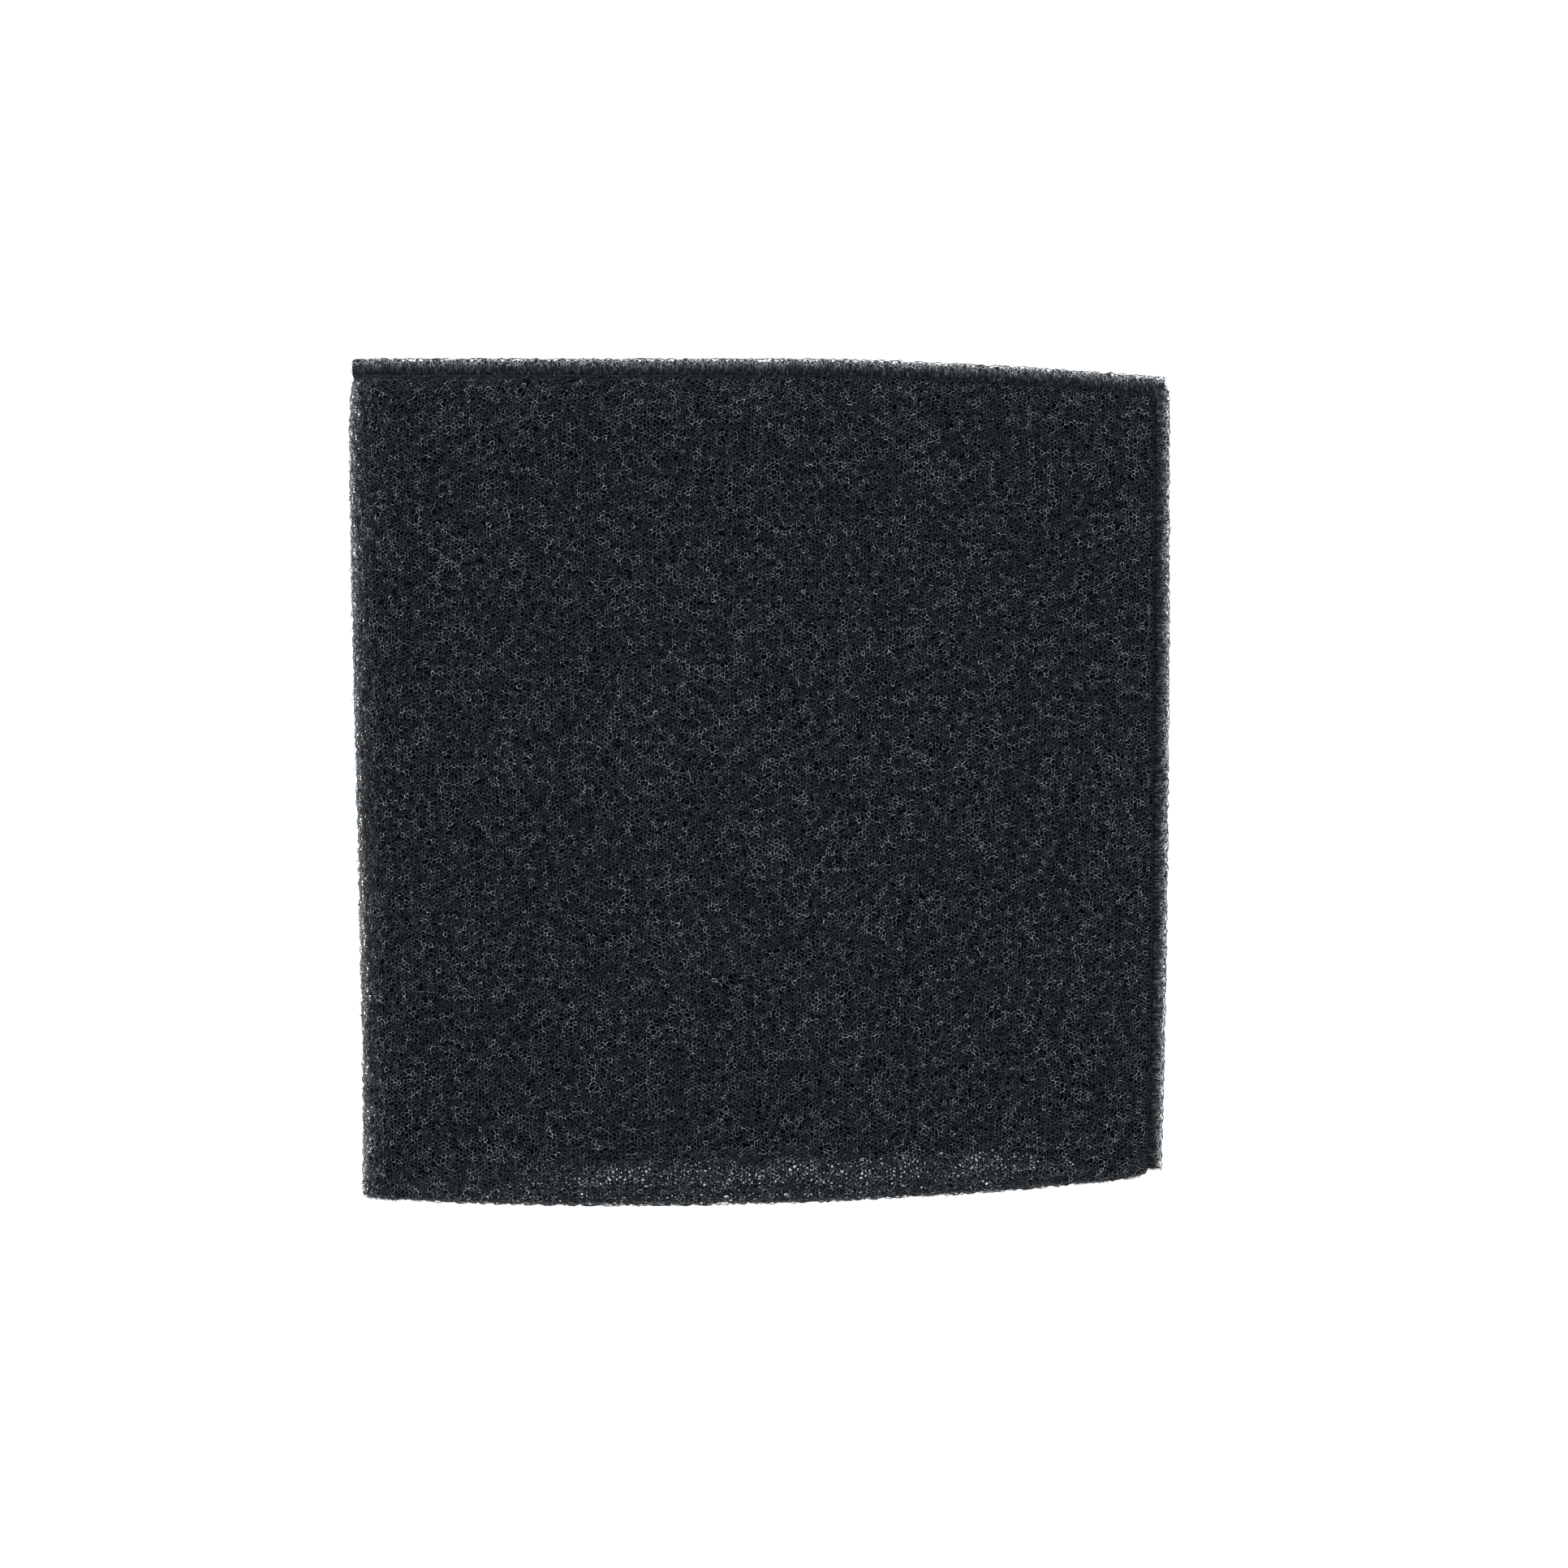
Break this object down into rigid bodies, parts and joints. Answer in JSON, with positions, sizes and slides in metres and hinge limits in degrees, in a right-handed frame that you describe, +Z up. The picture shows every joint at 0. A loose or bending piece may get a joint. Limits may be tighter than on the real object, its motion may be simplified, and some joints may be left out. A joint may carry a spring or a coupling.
{
  "type": "sponge filter sleeve",
  "caption": "Open-mouthed sleeve of dark reticulated foam, folded over one side and welded along the top and the other side, which slips over a pump or an intake as a filter.",
  "frame": {"origin": "under the middle of the sleeve's outline, on the surface that it lies on", "axes": "+X across, from the fold to the side weld; +Y along, from the open mouth to the top weld; +Z up, out of the front panel"},
  "size_m": [0.2019, 0.2062, 0.0305],
  "materials": {
    "foam": "dark grey reticulated open-cell foam with coarse pores, taken as polyurethane and its pore grade not known, matt with a faint gloss on its struts",
    "fused_foam": "the same foam melted into a dense dark line"
  },
  "bodies": {
    "root": {"folded_foam": "foam", "top_weld": "fused_foam", "top_lip_front": "foam", "top_lip_back": "foam", "side_weld": "fused_foam", "side_lip_front": "foam", "side_lip_back": "foam"}
  },
  "joints": []
}
